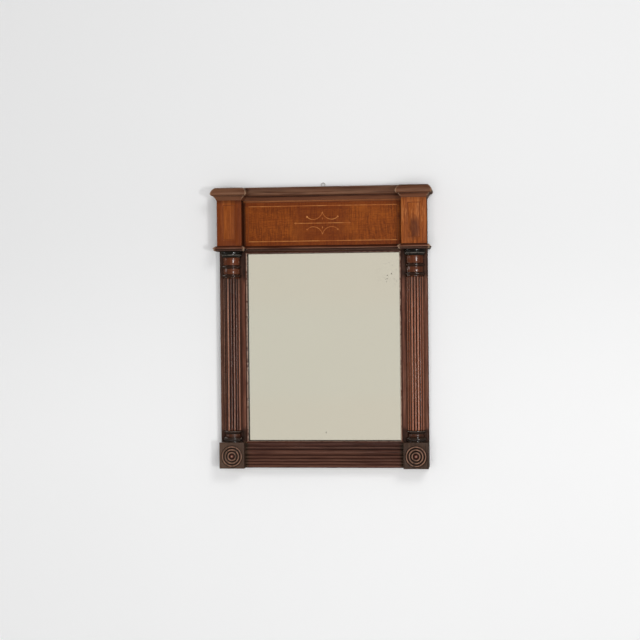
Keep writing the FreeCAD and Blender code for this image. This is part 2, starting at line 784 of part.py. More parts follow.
os.makedirs("parts", exist_ok=True)
all_nails = [nail(x, z) for x, z in nail_places()]
pine_carcass(all_nails)
stile_faces()
save("sight_slip_top", sight_slip(half_sight, sight_top, 0))
save("sight_slip_right", sight_slip(sight_top, half_sight, 90))
save("sight_slip_bottom", sight_slip(half_sight, sight_top, 180))
save("sight_slip_left", sight_slip(sight_top, half_sight, -90))
looking_glass()
backboards(all_nails)
frieze()
frieze_blocks()
top_board()
mouldings()
half_columns()
corner_blocks()
reeded_rail()
hanger()
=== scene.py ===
import bmesh
import bpy
import math
from mathutils import Matrix, Vector, noise


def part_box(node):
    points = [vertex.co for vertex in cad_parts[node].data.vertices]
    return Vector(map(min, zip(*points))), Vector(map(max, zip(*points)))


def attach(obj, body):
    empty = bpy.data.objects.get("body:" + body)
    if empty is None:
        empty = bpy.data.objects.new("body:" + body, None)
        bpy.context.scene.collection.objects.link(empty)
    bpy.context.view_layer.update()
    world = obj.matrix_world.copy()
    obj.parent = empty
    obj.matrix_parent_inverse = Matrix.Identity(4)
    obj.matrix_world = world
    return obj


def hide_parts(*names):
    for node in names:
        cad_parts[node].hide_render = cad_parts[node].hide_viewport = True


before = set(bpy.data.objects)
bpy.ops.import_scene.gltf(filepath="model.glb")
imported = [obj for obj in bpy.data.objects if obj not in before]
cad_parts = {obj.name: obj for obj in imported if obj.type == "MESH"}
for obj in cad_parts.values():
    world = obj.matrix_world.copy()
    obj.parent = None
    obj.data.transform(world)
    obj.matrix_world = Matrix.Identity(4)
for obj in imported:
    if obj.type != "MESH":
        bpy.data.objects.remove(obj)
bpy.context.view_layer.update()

# The camera stands four metres from the wall, right of the mirror and a little above its middle,
# as the photograph was taken. The focal length is in pixels of that picture.
scene = bpy.context.scene
scene.view_settings.view_transform = "Standard"
picture_width = 640
focal_pixels = 1500
sensor_width = 36.0
camera_place = Vector((0.450, -3.998, 0.087))
camera_yaw = math.radians(6.597)
camera_drop = math.radians(0.219)
camera_roll = math.radians(-0.532)
camera = bpy.data.objects.new("camera", bpy.data.cameras.new("camera"))
camera.data.sensor_width = sensor_width
camera.data.lens = focal_pixels / picture_width * sensor_width
camera.matrix_world = (
    Matrix.Translation(camera_place)
    @ Matrix.Rotation(camera_yaw, 4, "Z")
    @ Matrix.Rotation(math.radians(90) - camera_drop, 4, "X")
    @ Matrix.Rotation(camera_roll, 4, "Z"))
scene.collection.objects.link(camera)
scene.camera = camera


# The wall behind the mirror and the floor below it are plain, pale and matt. Both are seen from
# their front only, so the mirror can also be looked at from behind and from below.
class Feed:
    """A socket of a recipe. Sums and products of it add Math nodes to the same recipe."""

    def __init__(self, recipe, socket):
        self.recipe = recipe
        self.socket = socket

    def maths(self, operation, *terms):
        return self.recipe.node("ShaderNodeMath", {"operation": operation}, dict(enumerate(terms)))

    def __add__(self, other):
        return self.maths("ADD", self, other)

    def __sub__(self, other):
        return self.maths("SUBTRACT", self, other)

    def __mul__(self, other):
        return self.maths("MULTIPLY", self, other)

    def __truediv__(self, other):
        return self.maths("DIVIDE", self, other)

    def __pow__(self, other):
        return self.maths("POWER", self, other)

    def __rsub__(self, other):
        return self.maths("SUBTRACT", other, self)

    def sine(self):
        return self.maths("SINE", self)

    def cosine(self):
        return self.maths("COSINE", self)

    def root(self):
        return self.maths("SQRT", self)

    def size(self):
        return self.maths("ABSOLUTE", self)

    def least(self, other):
        return self.maths("MINIMUM", self, other)

    def most(self, other):
        return self.maths("MAXIMUM", self, other)

    def step(self, low, high):
        """0 below low, 1 above high and a smooth rise between. High may be the lower one."""
        return self.recipe.node(
            "ShaderNodeMapRange", {"interpolation_type": "SMOOTHSTEP"},
            {"Value": self, "From Min": low, "From Max": high})

    __radd__ = __add__
    __rmul__ = __mul__


class Recipe:
    """A node tree that is being filled, for a finish or for a shape."""

    def __init__(self, tree):
        self.tree = tree
        tree.nodes.clear()

    def node(self, kind, settings=None, sockets=None, result=0):
        """Adds a node, sets it, fills its sockets with values or feeds, and gives one result."""
        made = self.tree.nodes.new(kind)
        for name, value in (settings or {}).items():
            if name == "stops":
                ramp = made.color_ramp.elements
                while len(ramp) < len(value):
                    ramp.new(1.0)
                for element, (place, colour) in zip(ramp, value):
                    element.position = place
                    element.color = (*colour, 1.0)
            else:
                setattr(made, name, value)
        for name, value in (sockets or {}).items():
            socket = made.inputs[name]
            for one in value if isinstance(value, list) else [value]:
                if isinstance(one, Feed):
                    self.tree.links.new(one.socket, socket)
                elif socket.type == "RGBA":
                    socket.default_value = (*one, 1.0)
                else:
                    socket.default_value = one
        return Feed(self, made.outputs[result]) if made.outputs else None

    def mix(self, share, a, b, way="MIX"):
        """Colour b laid over colour a. The node keeps the share between 0 and 1."""
        return self.node("ShaderNodeMix", {"data_type": "RGBA", "blend_type": way},
                         {0: share, 6: a, 7: b}, 2)

    def noise(self, scale, detail=2.0, stretch=(1, 1, 1), shift=(0, 0, 0), twist=0.0):
        return self.node("ShaderNodeTexNoise", None, {
            "Vector": self.place(stretch, shift), "Scale": scale, "Detail": detail,
            "Distortion": twist})

    def place(self, stretch=(1, 1, 1), shift=(0, 0, 0)):
        """A point on the piece, in metres, stretched and shifted."""
        return self.node("ShaderNodeMapping", None, {
            "Vector": self.node("ShaderNodeTexCoord", result="Object"), "Scale": stretch,
            "Location": shift})

    def along(self, axis):
        """The distance along one axis of the mirror, in metres."""
        return self.node("ShaderNodeSeparateXYZ", None, {0: self.place()}, axis)

    def off(self, point, stretch=(1, 1, 1)):
        """The distance from a point of the piece, with the axes stretched."""
        middle = tuple(at * factor for at, factor in zip(point, stretch))
        return self.node("ShaderNodeVectorMath", {"operation": "DISTANCE"},
                         {0: self.place(stretch), 1: middle}, "Value")

    def shader(self, shader, kind="Material"):
        self.node("ShaderNodeOutput" + kind, None, {"Surface": shader})

    def surface(self, colour, roughness, relief, others):
        """Ends a finish. Relief is the strength, the depth in metres and the height."""
        strength, depth, height = relief
        bump = self.node("ShaderNodeBump", None, {
            "Strength": strength, "Distance": depth, "Height": height})
        self.shader(self.node("ShaderNodeBsdfPrincipled", None, {
            "Base Color": colour, "Roughness": roughness, "Normal": bump, **others}))


def tone(*levels):
    """A colour as a screen shows it, in levels from 0 to 255, made ready for the nodes."""
    return tuple(((level / 255 + 0.055) / 1.055) ** 2.4 for level in levels)


def new_finish(name):
    material = bpy.data.materials.new(name)
    material.use_nodes = True
    return material, Recipe(material.node_tree)


def staged(name, points, material, unseen):
    """A flat piece of the stage, left out of the kinds of ray named."""
    mesh = bpy.data.meshes.new(name)
    mesh.from_pydata(points, [], [(0, 1, 2, 3)])
    mesh.materials.append(material)
    piece = bpy.data.objects.new(name, mesh)
    for ray in unseen:
        setattr(piece, "visible_" + ray, False)
    scene.collection.objects.link(piece)


corner_signs = ((-1, -1), (1, -1), (1, 1), (-1, 1))
wall_gap = 0.001
wall_half_size = 9.0
floor_drop = 1.45
painted_light_low_z = -0.32
painted_light_top_z = 0.45
material, recipe = new_finish("matt white wall")
mottle = recipe.noise(3.0)
# Painted light: the paint is brighter low down, as if more light fell on the lower wall.
paint = recipe.mix(recipe.along(2).step(painted_light_low_z, painted_light_top_z), tone(253, 253, 253), tone(243, 243, 243))
paint = recipe.mix(mottle * 0.15, paint, tone(240, 240, 240))
matt = recipe.node("ShaderNodeBsdfDiffuse", None, {"Color": paint})
clear = recipe.node("ShaderNodeBsdfTransparent")
behind = recipe.node("ShaderNodeNewGeometry", result="Backfacing")
recipe.shader(recipe.node("ShaderNodeMixShader", None, {0: behind, 1: matt, 2: clear}))
backdrop_unseen = ("diffuse", "glossy", "transmission", "shadow")
staged("wall", [(x * wall_half_size, wall_gap, z * wall_half_size) for x, z in corner_signs],
       material, backdrop_unseen)
staged("floor", [(x * wall_half_size, y * wall_half_size, -floor_drop) for x, y in corner_signs],
       material, backdrop_unseen)

# The light is a small lamp and a soft high one, both from the right, with a broad even light from
# the front, a faint one from the left and one behind.
lamps = {
    # name: (bearing from the front, height angle, distance, size, brightness, shows in polish)
    "small lamp": (25.6, -3, 6.0, 0.50, 0.18, True),
    "soft high lamp": (24, 27, 5.0, 1.35, 0.19, True),
    "left lamp": (-78, 10, 4.0, 0.9, 0.05, True),
    "front light": (2, -4, 6.0, 3.6, 0.42, False),
    "back light": (-150, 35, 4.0, 2.4, 0.50, True),
}
for name, (bearing, height, distance, size, brightness, shows) in lamps.items():
    lamp = bpy.data.objects.new(name, bpy.data.lights.new(name, "AREA"))
    bearing = math.radians(bearing)
    height = math.radians(height)
    out = Vector((math.sin(bearing) * math.cos(height), -math.cos(bearing) * math.cos(height),
                  math.sin(height)))
    lamp.data.size = size
    lamp.data.energy = brightness * (math.pi * distance) ** 2
    lamp.rotation_euler = out.to_track_quat("Z", "Y").to_euler()
    lamp.location = out * distance
    lamp.visible_glossy = shows
    lamp.visible_transmission = shows
    scene.collection.objects.link(lamp)

# A pale wall far in front is what the looking-glass shows. The rest of the room is dimmer, so the
# polish on the wood stays deep and takes its lights from the lamps.
room_wall_distance = 6.0
room_wall_half_width = 24.0
room_wall_half_height = 18.0
material, recipe = new_finish("pale room wall")
recipe.shader(recipe.node("ShaderNodeEmission", None, {"Color": tone(216, 210, 203)}))
staged("room wall", [(x * room_wall_half_width, -room_wall_distance, z * room_wall_half_height)
                     for x, z in corner_signs], material, ("camera", "diffuse", "glossy", "shadow"))

room_light = 0.24
seen_white = tone(236, 236, 236)
room_seen = tone(120, 114, 104)
scene.world = bpy.data.worlds.new("room")
scene.world.use_nodes = True
recipe = Recipe(scene.world.node_tree)
glossy, clear_ray, from_camera = (
    recipe.node("ShaderNodeLightPath", result=ray)
    for ray in ("Is Glossy Ray", "Is Transmission Ray", "Is Camera Ray"))
room = recipe.mix(glossy.most(clear_ray), (room_light, room_light, room_light), room_seen)
room = recipe.mix(from_camera, room, seen_white)
recipe.shader(recipe.node("ShaderNodeBackground", None, {"Color": room}), "World")


# The carcass is old pine: two stiles, mortised, and two rails tenoned into them. Only its back,
# top and lower edge are bare, and a century and more of air has browned them.
sides = ("left", "right")
crease = math.radians(34)
arris_turn = math.radians(36)
flat_turn = math.radians(0.4)
wander_waves = 22.0


def registered(name, mesh, finish, node):
    """A finished piece of the frame that stands for the CAD node named."""
    made = bpy.data.objects.new(name, mesh)
    mesh.materials.clear()
    mesh.materials.append(finish)
    mesh.shade_smooth()
    mesh.set_sharp_from_angle(angle=crease)
    scene.collection.objects.link(made)
    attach(made, "frame")
    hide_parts(node)
    return made


def eased(node, finish, way, arris=0.0006, cuts=0, axis=0, wander=0.0):
    """A copy of a CAD piece with its triangles joined and its arrises eased. It may be cut
    across in even steps, and the faces between then wander inwards as hand work does."""
    shape = bmesh.new()
    shape.from_mesh(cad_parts[node].data)
    bmesh.ops.remove_doubles(shape, verts=shape.verts, dist=1e-6)
    bmesh.ops.dissolve_limit(shape, angle_limit=flat_turn, verts=shape.verts, edges=shape.edges)
    sharp = [edge for edge in shape.edges
             if edge.is_manifold and edge.calc_face_angle_signed() > arris_turn]
    if arris:
        bmesh.ops.bevel(shape, geom=sharp, offset=arris, offset_type="OFFSET", segments=2,
                        profile=0.6, affect="EDGES", clamp_overlap=True)
    low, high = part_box(node)
    for i in range(1, cuts):
        place = Vector((0, 0, 0))
        place[axis] = low[axis] + (high[axis] - low[axis]) * i / cuts
        across = Vector([float(k == axis) for k in range(3)])
        bmesh.ops.bisect_plane(shape, geom=shape.verts[:] + shape.edges[:] + shape.faces[:],
                               plane_co=place, plane_no=across)
    shape.normal_update()
    for vertex in shape.verts:
        drift = 0.5 + 0.5 * noise.noise(vertex.co * wander_waves)
        vertex.co -= vertex.normal * wander * min(max(drift, 0.0), 1.0)
    mesh = bpy.data.meshes.new(node)
    shape.to_mesh(mesh)
    shape.free()
    return registered(node + "_" + way, mesh, finish, node)


def dressed(node, finish):
    """A CAD piece whose shape is right as it is, with its finish."""
    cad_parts[node].material_slots[0].material = finish


with_grain = {"X": (0.05, 1, 1), "Y": (1, 0.05, 1), "Z": (1, 1, 0.05)}


def aged_pine(name, grain, tones, shift=(0, 0, 0)):
    """Bare pine, browned by age: growth lines, darker knots and streaks, dust and saw marks."""
    dark, light, stain = (tone(*levels) for levels in tones)
    material, recipe = new_finish(name)
    rings = recipe.noise(34.0, 3.0, with_grain[grain], shift, 0.8)
    lines = (rings * 46.0).sine() * 0.5 + 0.5
    fibres = recipe.noise(900.0, 2.0, with_grain[grain], shift)
    knots = recipe.noise(11.0, 1.0, shift=shift).step(0.66, 0.74)
    dust = recipe.noise(42.0, 5.0)
    marks = recipe.noise(160.0, 4.0, shift=shift)
    colour = recipe.mix(lines * 0.55 + fibres * 0.4, light, dark)
    colour = recipe.mix(recipe.noise(5.0, 4.0).step(0.36, 0.66), colour, stain)
    colour = recipe.mix(knots * 0.6, colour, stain)
    colour = recipe.mix(dust.step(0.45, 0.85) * 0.25, colour, tone(138, 122, 100))
    height = lines * 0.35 + fibres * 0.5 + marks * 0.25
    recipe.surface(colour, 0.72 + fibres * 0.2, (0.5, 0.0004, height), {"Specular IOR Level": 0.3})
    return material


pine_tones = ((98, 66, 40), (146, 107, 68), (84, 58, 38))
upright_pine = aged_pine("old pine, grain upright", "Z", pine_tones)
level_pine = aged_pine("old pine, grain level", "X", pine_tones, (3, 1, 2))
for side in sides:
    eased(side + "_stile", upright_pine, "planed")
for rail in ("top_rail", "bottom_rail"):
    eased(rail, level_pine, "planed", 0.0004)

# The looking-glass is an old plate of clear glass, four millimetres thick, faintly green, with
# soft waves. Tin foil on its back has begun to spot, most of all high on the right.
material, recipe = new_finish("old clear glass")
waves = recipe.noise(9.0, 1.0)
recipe.surface((0.965, 0.98, 0.95), 0.0, (0.04, 0.0003, waves), {"IOR": 1.52, "Transmission Weight": 1.0})
dressed("mirror_glass", material)

sight_half_width = -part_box("sight_slip_left")[1].x
slip_low, slip_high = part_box("sight_slip_top")
sight_half_height = slip_low.z
spot_middle = (0.176, 0.0, 0.188)
spot_reach = 0.05
speck_middle = (0.0035, 0.0, -0.2285)
speck_reach = 0.0015
grey_green = (0.60, 0.72, 0.66)
material, recipe = new_finish("spotted tin foil")
near = recipe.off(spot_middle, (1, 0, 1)).step(spot_reach, 0.0)
cells = recipe.node("ShaderNodeTexVoronoi", None, {"Vector": recipe.place(), "Scale": 150.0})
patch = recipe.noise(60.0, 4.0)
spots = (cells + patch * 0.35).step(0.40, 0.28) * near
speck = recipe.off(speck_middle, (1, 0, 0.6)).step(speck_reach + 0.0007, speck_reach - 0.0007)
spots = spots.most(speck * 0.35)
edge = recipe.along(2).size().step(sight_half_height - 0.003, sight_half_height + 0.004)
edge = edge.most(recipe.along(0).size().step(sight_half_width - 0.004, sight_half_width + 0.002))
haze = recipe.noise(7.0, 4.0)
tin = recipe.mix(haze * 0.35, (0.97, 0.955, 0.91), (0.92, 0.91, 0.85))
warm_low_z = -0.17
warm_high_z = 0.16
warm = recipe.along(2).step(warm_low_z + 0.07, warm_low_z).most(
    recipe.along(2).step(warm_high_z - 0.10, warm_high_z)) * 0.7
tin = recipe.mix(warm, tin, (0.97, 0.93, 0.87))
from_left = recipe.along(0).step(0.004 - sight_half_width, sight_half_width - 0.004)
tin = recipe.mix(from_left, recipe.mix(0.05, tin, grey_green), tin)
tin = recipe.mix(spots + edge * patch * 0.8, tin, tone(78, 70, 54))
recipe.shader(recipe.node("ShaderNodeBsdfPrincipled", None, {
    "Base Color": tin, "Metallic": 1.0, "Roughness": 0.012 + spots * 0.4}))
foil_gap = 0.00003
foil = eased("mirror_silvering", material, "spotted", 0.0)
plate_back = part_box("mirror_glass")[1].y
for vertex in foil.data.vertices:
    vertex.co.y = max(vertex.co.y, plate_back + foil_gap)


# Mitred mahogany slips stand a millimetre proud all round the glass, their inner arris rounded.
# Polish has worn thin on that arris and left it pale, and a painted highlight adds to that line.
def mahogany(name, grain, tones, gloss=0.34, shine=0.2, shift=(0, 0, 0), touch=None):
    """Polished mahogany: broad ribbons, fine streaks and short open pores along the grain.
    Touch may change the colour and the roughness with what a piece adds of its own."""
    dark, middle, light = (tone(*levels) for levels in tones)
    material, recipe = new_finish(name)
    ribbons = recipe.noise(30.0, 3.0, with_grain[grain], shift, 0.4)
    streaks = recipe.noise(330.0, 2.0, with_grain[grain], shift)
    pores = recipe.noise(1500.0, 1.0, with_grain[grain], shift).step(0.60, 0.70)
    cloud = recipe.noise(24.0, 4.0, shift=shift)
    colour = recipe.node("ShaderNodeValToRGB", {
        "stops": [(0.30, dark), (0.50, middle), (0.70, light)]},
        {"Fac": ribbons * 0.55 + streaks * 0.45})
    colour = recipe.mix(pores * 0.45, colour, dark, "MULTIPLY")
    roughness = gloss + cloud.step(0.45, 0.75) * 0.16 + pores * 0.2
    if touch:
        colour, roughness = touch(recipe, colour, roughness)
    height = streaks * 0.4 - pores * 0.6 + cloud * 0.8
    recipe.surface(colour, roughness, (0.35, 0.0003, height), {"Specular IOR Level": shine})
    return material


def marked(piece, name, measure):
    """Stores a share from 0 to 1 at each point of a piece, worked out from where the point is."""
    layer = piece.data.attributes.new(name, "FLOAT", "POINT")
    layer.data.foreach_set("value", [min(max(measure(v.co), 0.0), 1.0) for v in piece.data.vertices])


def share(recipe, name):
    return recipe.node("ShaderNodeAttribute", {"attribute_name": name}, result="Fac")


def worn_dirty_and_shaded(worn, dirt, worn_share=0.7, dirt_share=0.9, grain="Z"):
    """Wear on what stands proud and a dark colour in what is marked sunk, both drawn out along the grain. The
    dark is dirt, and painted shade too where a piece's sunk mark follows its shade.
    """
    def touch(recipe, colour, roughness):
        break_up = recipe.noise(230.0, 4.0, with_grain[grain])
        rub = share(recipe, "proud") * break_up.step(0.30, 0.62) * worn_share
        deep = share(recipe, "sunk") * (0.75 + break_up * 0.5) * dirt_share
        colour = recipe.mix(rub, colour, worn)
        colour = recipe.mix(deep, colour, dirt)
        return colour, roughness + rub * 0.08 + deep * 0.25
    return touch


grime = tone(18, 10, 6)
dark_red = ((34, 13, 7), (68, 32, 20), (98, 54, 38))
slip_face = slip_low.y
slip_width = slip_high.z - slip_low.z
slip_round = 0.0015
arris_rub = 0.0026


def slip_touch(axis, sight_edge, worn_share, dirt_share):
    """Pale on the inner arris, wear with painted highlight, darker along the outer edge where the slip meets
    the facing, and painted shade down the side beside the glass.
    """
    def touch(recipe, colour, roughness):
        off_sight = recipe.along(axis).size() - sight_edge
        break_up = recipe.noise(150.0, 4.0)
        # Painted shade: the slip's side, down to the glass, is darkened as if in shade.
        deep = recipe.along(1).step(slip_face + slip_round, slip_face + slip_round * 2)
        # The pale line on the inner arris is wear and painted highlight.
        worn = off_sight.step(arris_rub + 0.0008, arris_rub - 0.0008)
        worn = worn * break_up.step(0.28, 0.56) * worn_share
        # Darker along the outer edge, where the slip meets the facing; this mask also takes the painted shade
        # of the side.
        dirt = off_sight.step(slip_width - 0.0020, slip_width - 0.0004) * dirt_share
        dirt = dirt.most(deep * 0.85)
        colour = recipe.mix(worn, colour, tone(166, 140, 122))
        return recipe.mix(dirt, colour, grime), roughness + dirt * 0.2
    return touch


level_slip = mahogany("mahogany slip, level", "X", dark_red,
                      touch=slip_touch(2, sight_half_height, 0.3, 0.45))
upright_slip = mahogany("mahogany slip, upright", "Z", dark_red,
                        touch=slip_touch(0, sight_half_width, 0.95, 0.85))
for side, finish in (("top", level_slip), ("left", upright_slip), ("bottom", level_slip),
                     ("right", upright_slip)):
    eased("sight_slip_" + side, finish, "mitred", 0.0003)

# Thin mahogany faces the stiles beside the glass, and darker veneer covers the frame's two sides.
# Handling has dulled both. Where the half columns meet the facing, the facing is darkened with dirt and
# painted shade.
corner_low, corner_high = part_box("right_corner_block")
column_axis = (corner_low.x + corner_high.x) / 2
shaft_low, shaft_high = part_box("right_shaft")
shaft_reach = shaft_high.x - column_axis


def column_dirt_and_shade(recipe, colour, roughness):
    """Darkening in the corner between the facing and its half column, at its ends and on the margin: dirt and
    painted shade, the margin darkest on the left.
    """
    x = recipe.along(0).size()
    z = recipe.along(2)
    break_up = recipe.noise(120.0, 4.0, (1, 1, 0.4))
    corner = (x - column_axis).size().step(shaft_reach + 0.008, shaft_reach - 0.002) * (0.4 + break_up * 0.5)
    ends = z.step(shaft_high.z - 0.020, shaft_high.z + 0.010).most(
        z.step(shaft_low.z + 0.017, shaft_low.z - 0.003)) * (0.50 + break_up * 0.6)
    # Painted shade: the outer margin is darker on the left side, away from the light.
    on_left = recipe.along(0).step(0.001, -0.001)
    outer = x.step(column_axis + shaft_reach, column_axis + shaft_reach + 0.002)
    outer = outer * (0.05 + on_left * 0.35 + break_up * 0.3)
    dirt = corner.most(ends).most(outer).least(1.0)
    return recipe.mix(dirt, colour, tone(20, 17, 13)), roughness + dirt * 0.2


facing = mahogany("stile facing", "Z", ((50, 23, 13), (108, 64, 48), (152, 106, 84)), 0.38, 0.15, (1, 0, 0),
                  column_dirt_and_shade)
side_veneer = mahogany("side veneer", "Z", ((34, 14, 8), (62, 32, 20), (88, 50, 34)), 0.55, 0.1,
                       (2, 0, 0))
for side in sides:
    dressed(side + "_stile_facing", facing)
    eased(side + "_side_veneer", side_veneer, "polished", 0.0003)

# Three wide pine boards close the back. They are rougher and greyer than the frame, with saw
# marks across them, held by rusty nails.
board_finish = aged_pine("sawn pine board", "Z", ((92, 66, 44), (138, 106, 74), (78, 58, 42)), (7, 0, 4))
for board in ("left", "middle", "right"):
    eased("backboard_" + board, board_finish, "sawn", 0.0009)


# Cut iron nails hold the boards, four down each side and two in each board's ends. Each is a flat
# head on a square shank that tapers, set a little off true by the hammer.
def shape_recipe(name, inputs):
    """An empty shape recipe with these named inputs, and the inputs as feeds."""
    tree = bpy.data.node_groups.new(name, "GeometryNodeTree")
    for label, value in inputs.items():
        kind = {float: "Float", int: "Int"}.get(type(value), "Material")
        tree.interface.new_socket(label, in_out="INPUT", socket_type="NodeSocket" + kind)
    tree.interface.new_socket("Shape", in_out="OUTPUT", socket_type="NodeSocketGeometry")
    recipe = Recipe(tree)
    return recipe, {label: recipe.node("NodeGroupInput", result=label) for label in inputs}


def closed_recipe(recipe, shape, finish):
    """Ends a shape recipe: copies made real, and the finish set."""
    real = recipe.node("GeometryNodeRealizeInstances", None, {0: shape})
    painted = recipe.node("GeometryNodeSetMaterial", None, {"Geometry": real, "Material": finish})
    recipe.node("NodeGroupOutput", None, {0: painted})


def grown(recipe, inputs):
    """The plain mesh that a shape recipe gives for these inputs."""
    blank = bpy.data.objects.new("blank", bpy.data.meshes.new("blank"))
    scene.collection.objects.link(blank)
    modifier = blank.modifiers.new("shape", "NODES")
    modifier.node_group = recipe.tree
    for item in recipe.tree.interface.items_tree:
        if item.in_out == "INPUT":
            modifier[item.identifier] = inputs[item.name]
    graph = bpy.context.evaluated_depsgraph_get()
    mesh = bpy.data.meshes.new_from_object(blank.evaluated_get(graph))
    bpy.data.objects.remove(blank)
    return mesh


def vector(recipe, x=0.0, y=0.0, z=0.0):
    return recipe.node("ShaderNodeCombineXYZ", None, {0: x, 1: y, 2: z})


def placed(recipe, shape, turn=(0.0, 0.0, 0.0), move=(0.0, 0.0, 0.0)):
    """A shape turned and then moved."""
    return recipe.node("GeometryNodeTransform", None, {
        "Geometry": shape, "Rotation": turn, "Translation": move})


def cone(recipe, corners, top, foot, height):
    return recipe.node("GeometryNodeMeshCone", None, {
        "Vertices": corners, "Radius Top": top, "Radius Bottom": foot, "Depth": height})


def rusty_iron(name, dark, light):
    material, recipe = new_finish(name)
    rust = recipe.noise(520.0, 5.0)
    colour = recipe.mix(rust.step(0.35, 0.65), dark, light)
    recipe.surface(colour, 0.5 + rust * 0.35, (0.6, 0.0002, rust), {"Metallic": 0.55})
    return material


iron = rusty_iron("rusty cut iron", tone(52, 40, 34), tone(104, 66, 42))
to_wall = (math.radians(90), 0.0, 0.0)
nail_low, nail_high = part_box("backboard_nails")
head_width = 0.005
head_thickness = 0.001
shank_width = 0.0024
end_nail_count = 6
side_nail_count = 4
board_play = 0.001
board_width = (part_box("backboard_right")[1].x + board_play) * 2
nail_end_margin = 0.060
side_run = 2 * (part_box("backboard_left")[1].z + board_play - nail_end_margin)
nail_sizes = {
    "Side X": nail_high.x - head_width / 2, "End Z": nail_high.z - shank_width / 2,
    "Side spacing": side_run / side_nail_count, "End spacing": board_width / end_nail_count,
    "Head back": nail_high.y, "Head width": head_width, "Head thickness": head_thickness,
    "Shank width": shank_width, "Shank length": nail_high.y - nail_low.y - head_thickness,
    "Tip share": 0.35, "Side nails": side_nail_count, "End nails": end_nail_count, "Seed": 4,
    "Finish": iron}
recipe, given = shape_recipe("cut nails", nail_sizes)
down_sides = recipe.node("GeometryNodeMeshGrid", None, {
    "Size X": given["Side X"] * 2.0, "Size Y": given["Side spacing"] * (given["Side nails"] - 1.0),
    "Vertices X": 2, "Vertices Y": given["Side nails"]})
along_ends = recipe.node("GeometryNodeMeshGrid", None, {
    "Size X": given["End spacing"] * (given["End nails"] - 1.0), "Size Y": given["End Z"] * 2.0,
    "Vertices X": given["End nails"], "Vertices Y": 2})
places = recipe.node("GeometryNodeJoinGeometry", None, {0: [down_sides, along_ends]})
places = placed(recipe, places, to_wall, vector(recipe, 0.0, given["Head back"]))
head = recipe.node("GeometryNodeMeshCube", None, {
    "Size": vector(recipe, given["Head width"], given["Head thickness"], given["Shank width"])})
head = placed(recipe, head, move=vector(recipe, 0.0, given["Head thickness"] * -0.5))
shank_half = given["Shank width"] * math.sqrt(0.5)
shank = cone(recipe, 4, shank_half * given["Tip share"], shank_half, given["Shank length"])
shank = placed(recipe, shank, (0.0, 0.0, math.radians(45)))
shank = placed(recipe, shank, to_wall, vector(recipe, 0.0, given["Head thickness"] * -1.0))
one_nail = recipe.node("GeometryNodeJoinGeometry", None, {0: [head, shank]})
tilt = recipe.node("FunctionNodeRandomValue", {"data_type": "FLOAT_VECTOR"}, {
    "Min": (-0.02, -0.10, -0.02), "Max": (0.02, 0.10, 0.02), "Seed": given["Seed"]})
nails = recipe.node("GeometryNodeInstanceOnPoints", None, {
    "Points": places, "Instance": one_nail, "Rotation": tilt})
closed_recipe(recipe, nails, given["Finish"])
registered("backboard_nails_cut", grown(recipe, nail_sizes), iron, "backboard_nails")

# Bevelled pine blocks, glued in the corner behind the plate, hold it in its rebate.
dressed("glass_blocks", upright_pine)

# The frieze is a single leaf of fiddleback mahogany, its grain level and its ripple upright, laid
# on the top rail. It is redder at its edges and round the middle, and darkened beside each block by dirt and
# painted shade.
frieze_low, frieze_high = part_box("frieze_veneer")
string_low, string_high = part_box("frieze_stringing")
veneer_red = tone(98, 40, 14)


def frieze_touch(recipe, colour, roughness):
    x = recipe.along(0)
    z = recipe.along(2)
    sway = recipe.noise(42.0, 3.0, (1, 1, 0.30), (4, 0, 0))
    strength = recipe.noise(30.0, 3.0, (1, 1, 0.6), (2, 0, 3)).step(0.30, 0.62)
    ripple = (x * ripple_turns + sway * 22.0).sine() * 0.5 + 0.5
    fleck = recipe.noise(430.0, 3.0, (0.3, 1, 1), (6, 0, 0))
    uneven = recipe.noise(230.0, 2.0, (1, 1, 0.16), (9, 0, 0)).step(0.40, 0.60)
    ripple = ripple * 0.45 + uneven * 0.55
    colour = recipe.mix(ripple * (0.32 + strength * 0.40), colour, tone(84, 34, 9))
    colour = recipe.mix(fleck.step(0.52, 0.70) * 0.32, colour, tone(164, 86, 26))
    colour = recipe.mix(fleck.step(0.46, 0.34) * 0.32, colour, tone(74, 30, 7))
    glow = recipe.noise(22.0, 2.0, (1, 1, 0.6), (4, 0, 0)).step(0.50, 0.68)
    colour = recipe.mix(glow * 0.4, colour, tone(158, 84, 26))
    patch = (x.size() + sway * 0.05).step(red_middle + 0.020, red_middle - 0.020) * 0.45
    margin = z.step(string_high.z - 0.001, string_high.z + 0.001).most(
        z.step(string_low.z + 0.001, string_low.z - 0.001)) * 0.45
    colour = recipe.mix(patch.most(margin), colour, veneer_red)
    # Painted shade, with dirt, darkens the frieze beside each block: a little at the right end, more at the
    # left.
    corner = (x.step(frieze_high.x - 0.012, frieze_high.x - 0.003) * 0.34).most(
        x.step(0.008 - frieze_high.x, 0.002 - frieze_high.x) * 0.8)
    return recipe.mix(corner, colour, tone(40, 19, 10)), roughness + corner * 0.2


red_middle = 0.095
ripple_turns = 2 * math.pi / 0.0070
dressed("frieze_veneer", mahogany(
    "figured frieze veneer", "X", ((108, 47, 10), (140, 68, 18), (162, 84, 24)), 0.38, 0.10,
    (0, 0, 5), frieze_touch))


# Boxwood lines and the small inlay are let in flush and polished over with the veneer, which has
# turned them the colour of honey. The upright lines have darkened almost to the veneer's red.
def boxwood(name, dark, light):
    material, recipe = new_finish(name)
    age = recipe.noise(48.0, 4.0)
    fibre = recipe.noise(1400.0, 1.0, (0.1, 1, 1))
    colour = recipe.mix(age.step(0.35, 0.68), dark, light)
    colour = recipe.mix(fibre * 0.3, colour, tone(132, 66, 28))
    inner_edge = string_high.x - string_width
    upright = recipe.along(0).size().step(inner_edge - 0.0004, inner_edge)
    colour = recipe.mix(upright * 0.9, colour, tone(112, 54, 22))
    recipe.surface(colour, 0.38 + age * 0.1, (0.2, 0.0002, fibre), {"Specular IOR Level": 0.12})
    return material


